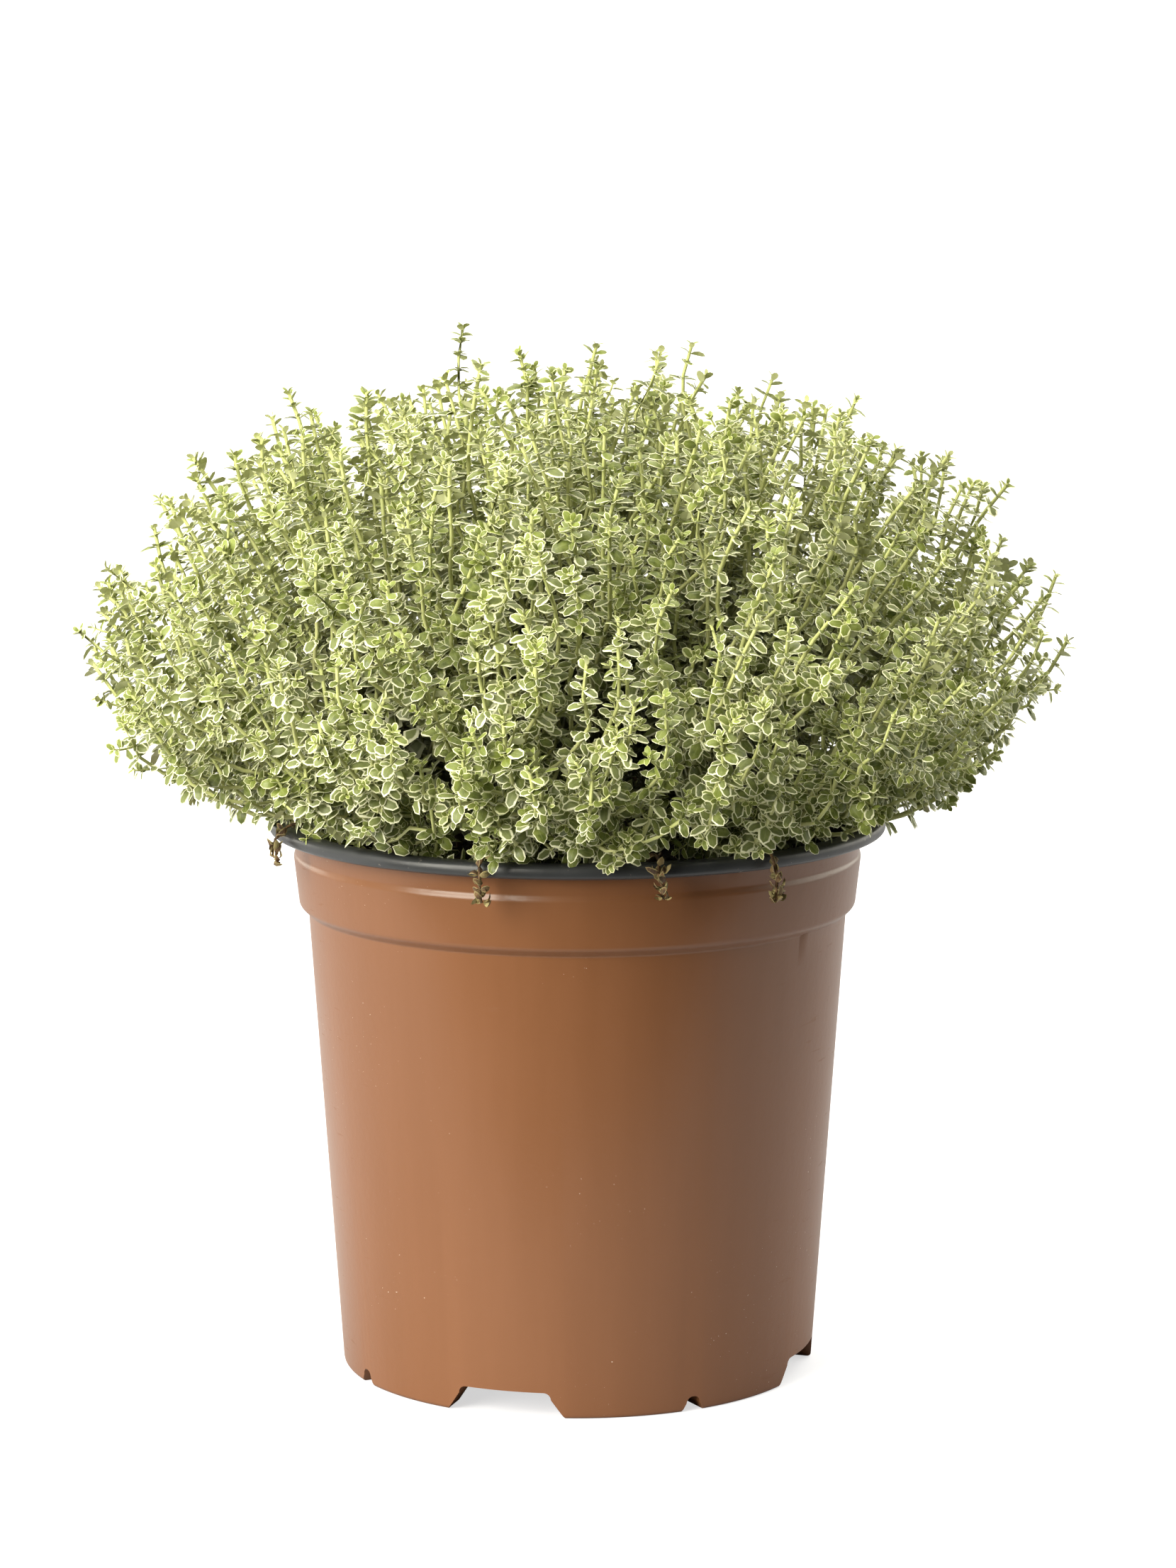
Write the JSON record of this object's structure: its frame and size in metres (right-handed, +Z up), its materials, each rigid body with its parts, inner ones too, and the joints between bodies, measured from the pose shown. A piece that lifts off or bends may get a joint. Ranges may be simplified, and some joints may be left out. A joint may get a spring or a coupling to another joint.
{
  "type": "potted thyme",
  "caption": "Bushy dome of variegated thyme with small cream-edged leaves in a round, tapered two-tone nursery pot with a rolled lip.",
  "frame": {"origin": "on the ground, at the middle of the pot's foot ring", "axes": "+Z up; -Y towards the viewer of the picture, +X to the viewer's right"},
  "size_m": [0.3, 0.2934, 0.3203],
  "materials": {
    "pot_plastic": "satin terracotta brown outside, black lip and inside",
    "soil": "dark, crumbly, moist peat compost",
    "leafy_stems": "soft sheen, grey-green leaves with cream edges on pale green stems",
    "withered_stems": "dry, dull brown"
  },
  "bodies": {
    "root": {"pot": "pot_plastic", "soil": "soil", "spray_01": "leafy_stems", "spray_02": "leafy_stems", "spray_03": "leafy_stems", "spray_04": "leafy_stems", "spray_05": "leafy_stems", "spray_06": "leafy_stems", "spray_07": "leafy_stems", "spray_08": "leafy_stems", "spray_09": "leafy_stems", "spray_10": "leafy_stems", "spray_11": "leafy_stems", "spray_12": "leafy_stems", "spray_13": "leafy_stems", "spray_14": "leafy_stems", "spray_15": "leafy_stems", "spray_16": "leafy_stems", "spray_17": "leafy_stems", "spray_18": "leafy_stems", "spray_19": "leafy_stems", "spray_20": "leafy_stems", "spray_21": "leafy_stems", "spray_22": "leafy_stems", "spray_23": "leafy_stems", "spray_24": "leafy_stems", "dry_sprig_1": "withered_stems", "dry_sprig_2": "withered_stems", "dry_sprig_3": "withered_stems", "dry_sprig_4": "withered_stems"}
  },
  "joints": []
}
